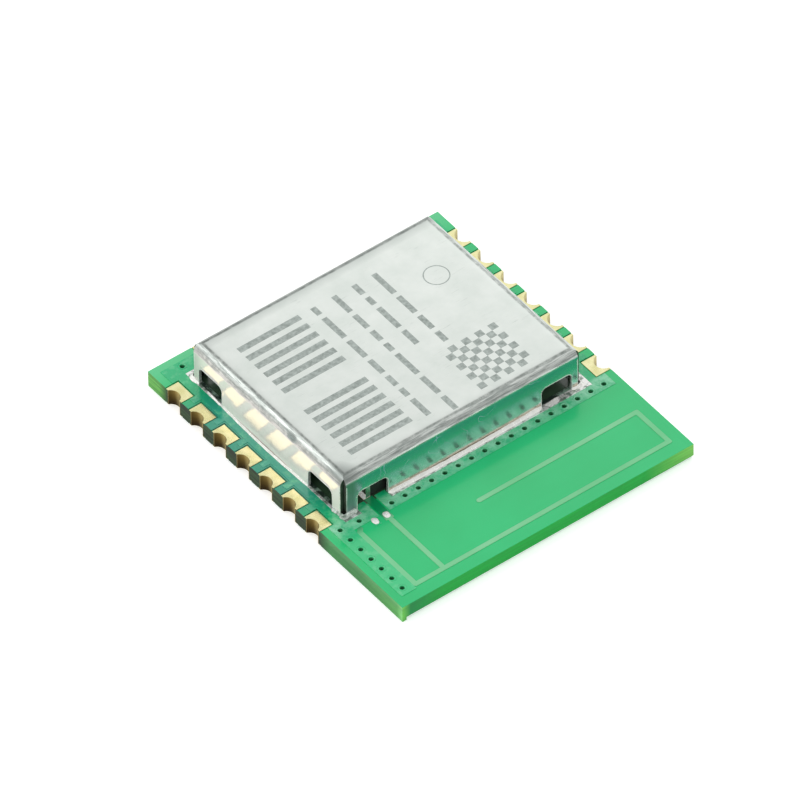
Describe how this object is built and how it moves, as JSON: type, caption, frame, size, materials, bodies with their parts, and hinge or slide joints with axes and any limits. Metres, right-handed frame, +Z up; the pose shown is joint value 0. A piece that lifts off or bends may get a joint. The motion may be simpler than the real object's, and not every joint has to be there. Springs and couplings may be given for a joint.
{
  "type": "wifi module",
  "caption": "Surface-mount radio module: green board with gold half-hole edge contacts, a folded metal shield can over the chips and a printed antenna on the bare end.",
  "frame": {"origin": "middle of the board's underside, the face that is soldered down", "axes": "+X across the board from the contact row beside the antenna's short leg to the other long row, +Y along the board from the antenna end to the shielded end, +Z up through the can's lid"},
  "size_m": [0.0144, 0.0164, 0.0028],
  "materials": {
    "board": "glossy green solder mask over glass-epoxy laminate",
    "contact_gold": "satin gold plating over nickel and copper",
    "via_copper": "plated hole lining, tinted by solder mask",
    "masked_copper": "glossy green solder mask over copper",
    "masked_copper_trace": "glossy green solder mask over a narrow copper track",
    "tinned_land": "tinned copper, semi bright",
    "can_metal": "satin tin-plated steel sheet with fine scuffs",
    "solder": "bright solder",
    "chip_die": "dark coated silicon",
    "crystal_ceramic": "grey-brown ceramic",
    "crystal_metal": "nickel-plated lid",
    "inductor_core": "dark pressed powder core with tinned ends",
    "filter_core": "black ceramic with tinned ends",
    "capacitor": "tan ceramic with tinned ends",
    "resistor": "black glazed ceramic with tinned ends",
    "bare_copper": "plated copper land"
  },
  "bodies": {
    "root": {"antenna_filter": "filter_core", "antenna_trace": "masked_copper_trace", "capacitor_1": "capacitor", "capacitor_2": "capacitor", "capacitor_3": "capacitor", "capacitor_4": "capacitor", "capacitor_5": "capacitor", "capacitor_6": "capacitor", "capacitor_7": "capacitor", "capacitor_8": "capacitor", "circuit_board": "board", "component_lands": "bare_copper", "component_solder": "solder", "corner_solder_front_left": "solder", "corner_solder_front_right": "solder", "corner_solder_rear_left": "solder", "corner_solder_rear_right": "solder", "crystal_case": "crystal_ceramic", "crystal_lid": "crystal_metal", "feed_solder": "solder", "ground_copper": "masked_copper", "ground_vias": "via_copper", "left_contact_1": "contact_gold", "left_contact_2": "contact_gold", "left_contact_3": "contact_gold", "left_contact_4": "contact_gold", "left_contact_5": "contact_gold", "left_contact_6": "contact_gold", "left_contact_7": "contact_gold", "power_inductor": "inductor_core", "radio_chip": "chip_die", "radio_chip_balls": "solder", "rear_contact_1": "contact_gold", "rear_contact_2": "contact_gold", "rear_contact_3": "contact_gold", "rear_contact_4": "contact_gold", "rear_contact_5": "contact_gold", "rear_contact_6": "contact_gold", "rear_contact_7": "contact_gold", "resistor_1": "resistor", "resistor_2": "resistor", "resistor_3": "resistor", "right_contact_1": "contact_gold", "right_contact_2": "contact_gold", "right_contact_3": "contact_gold", "right_contact_4": "contact_gold", "right_contact_5": "contact_gold", "right_contact_6": "contact_gold", "right_contact_7": "contact_gold", "shield_can": "can_metal", "shield_land": "tinned_land", "wall_solder_front": "solder", "wall_solder_left": "solder", "wall_solder_rear": "solder", "wall_solder_right": "solder"}
  },
  "joints": []
}
